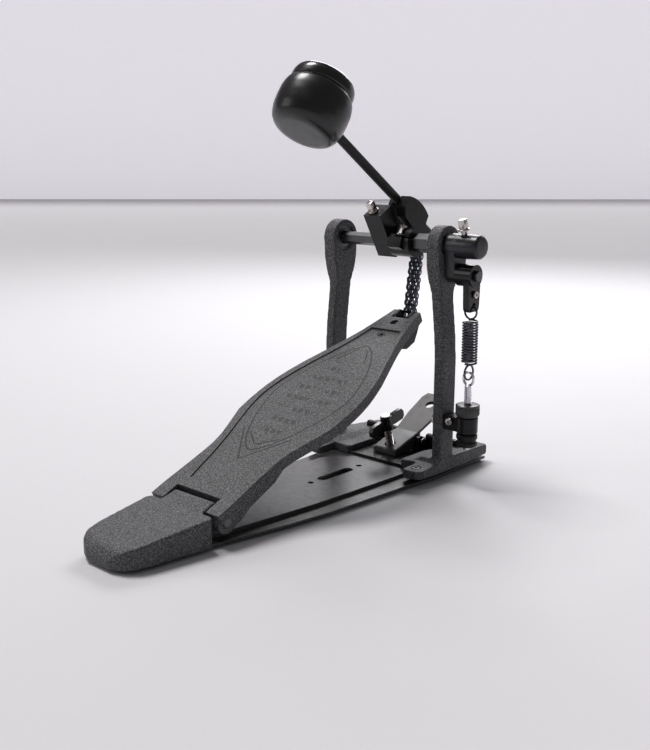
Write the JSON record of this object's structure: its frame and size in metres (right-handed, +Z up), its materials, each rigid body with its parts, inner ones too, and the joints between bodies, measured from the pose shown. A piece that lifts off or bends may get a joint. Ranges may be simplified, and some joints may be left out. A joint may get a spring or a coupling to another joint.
{
  "type": "bass drum pedal",
  "caption": "Single bass drum pedal with chain drive, round beater on a clamped rod, two posts, tilting footboard, side return spring and a hoop clamp with wing bolt.",
  "frame": {"origin": "on the floor, under the front grip pad, beneath the middle of the rocker shaft", "axes": "+Y from the heel towards the drum, +Z up, +X towards the player's right, the side of the return spring"},
  "size_m": [0.1478, 0.355, 0.3127],
  "materials": {
    "powder_coat": "speckled dark grey powder coat",
    "satin_steel": "satin charcoal lacquer",
    "grip_rubber": "matt",
    "shaft_steel": "dull steel",
    "bright_nickel": "bright nickel",
    "chrome": "polished",
    "beater_plastic": "semi gloss",
    "bushing_plastic": "matt",
    "black_metal": "satin black plating"
  },
  "bodies": {
    "base": {"base_plate": "satin_steel", "front_grip_pad": "grip_rubber", "rear_grip_pad": "grip_rubber", "heel_plate": "powder_coat", "hinge_pin": "bright_nickel", "hinge_bushing_left": "bushing_plastic", "hinge_bushing_right": "bushing_plastic", "left_foot": "powder_coat", "right_foot": "powder_coat", "cross_web": "black_metal", "foot_screw_left": "black_metal", "foot_screw_right": "black_metal", "left_post": "powder_coat", "right_post": "powder_coat", "left_bearing": "shaft_steel", "right_bearing": "shaft_steel", "jaw_pin": "bright_nickel", "spring_bracket": "black_metal", "tension_rod": "chrome", "bracket_bolt": "bright_nickel", "bracket_screw": "bright_nickel", "lock_nut": "black_metal"},
    "rotor": {"hex_shaft": "shaft_steel", "cam": "black_metal", "cam_bolt": "bright_nickel", "chain_anchor_pin": "bright_nickel", "clamp_block": "black_metal", "block_bolt": "bright_nickel", "rocker_hub": "black_metal", "rocker_bolt": "bright_nickel", "swivel_pin": "bright_nickel"},
    "treadle": {"footboard": "powder_coat", "toe_bracket": "black_metal", "toe_screw_front": "black_metal", "toe_screw_rear": "black_metal"},
    "chain_run": {"chain_link_1": "black_metal", "chain_link_2": "black_metal", "chain_link_3": "black_metal", "chain_link_4": "black_metal", "chain_link_5": "black_metal"},
    "swivel": {"swivel_link": "black_metal", "link_screw": "bright_nickel", "spring_hook_top": "black_metal", "spring_coil": "black_metal"},
    "spring_end": {"spring_hook_bottom": "black_metal"},
    "beater": {"beater_rod": "black_metal", "beater_head": "beater_plastic", "beater_cap": "beater_plastic"},
    "wing_bolt": {"clamp_stem": "chrome", "wing_head": "black_metal"},
    "jaw": {"hoop_jaw": "satin_steel"},
    "adjuster": {"tension_nut": "satin_steel"}
  },
  "joints": [
    {"name": "shaft", "type": "hinge", "parent": "base", "child": "rotor", "pos_m": [0, 0, 0.1836], "axis": [-1, 0, 0], "range_deg": [0, 50], "stiffness_Nm_per_rad": 0.5, "springref_deg": -34.38},
    {"name": "treadle_hinge", "type": "hinge", "parent": "base", "child": "treadle", "pos_m": [0, -0.206, 0.0166], "axis": [-1, 0, 0], "range_deg": [0, 7.2]},
    {"name": "chain_swing", "type": "hinge", "parent": "rotor", "child": "chain_run", "pos_m": [0, 0.03691, 0.18102], "axis": [-1, 0, 0], "range_deg": [-71.7, 0]},
    {"name": "swivel_pivot", "type": "hinge", "parent": "rotor", "child": "swivel", "pos_m": [0.078, 0, 0.1624], "axis": [-1, 0, 0], "range_deg": [-62.1, 0]},
    {"name": "spring_stretch", "type": "slide", "parent": "swivel", "child": "spring_end", "axis": [0, 0, -1], "range_m": [0, 0.0073], "deforming": ["spring_coil"]},
    {"name": "beater_height", "type": "slide", "parent": "rotor", "child": "beater", "axis": [0, -0.8261, 0.5635], "range_m": [0, 0.025]},
    {"name": "wing_turn", "type": "hinge", "parent": "base", "child": "wing_bolt", "pos_m": [0, 0.0053, 0.0129], "axis": [0, -0.2622, 0.965], "range_deg": [0, 180]},
    {"name": "jaw_rock", "type": "hinge", "parent": "base", "child": "jaw", "pos_m": [0, 0.026, 0.017], "axis": [-1, 0, 0], "range_deg": [0, 4]},
    {"name": "nut_turn", "type": "hinge", "parent": "base", "child": "adjuster", "pos_m": [0.078, 0, 0.06], "axis": [0, 0, 1], "range_deg": [0, 540]}
  ],
  "couplings": [
    {"joint": "treadle_hinge", "follows": "shaft", "ratio": 0.142},
    {"joint": "chain_swing", "follows": "shaft", "ratio": -1.424},
    {"joint": "swivel_pivot", "follows": "shaft", "ratio": -1.232},
    {"joint": "spring_stretch", "follows": "shaft", "m_per_rad": 0.008251},
    {"joint": "jaw_rock", "follows": "wing_turn", "ratio": 0.022222}
  ]
}
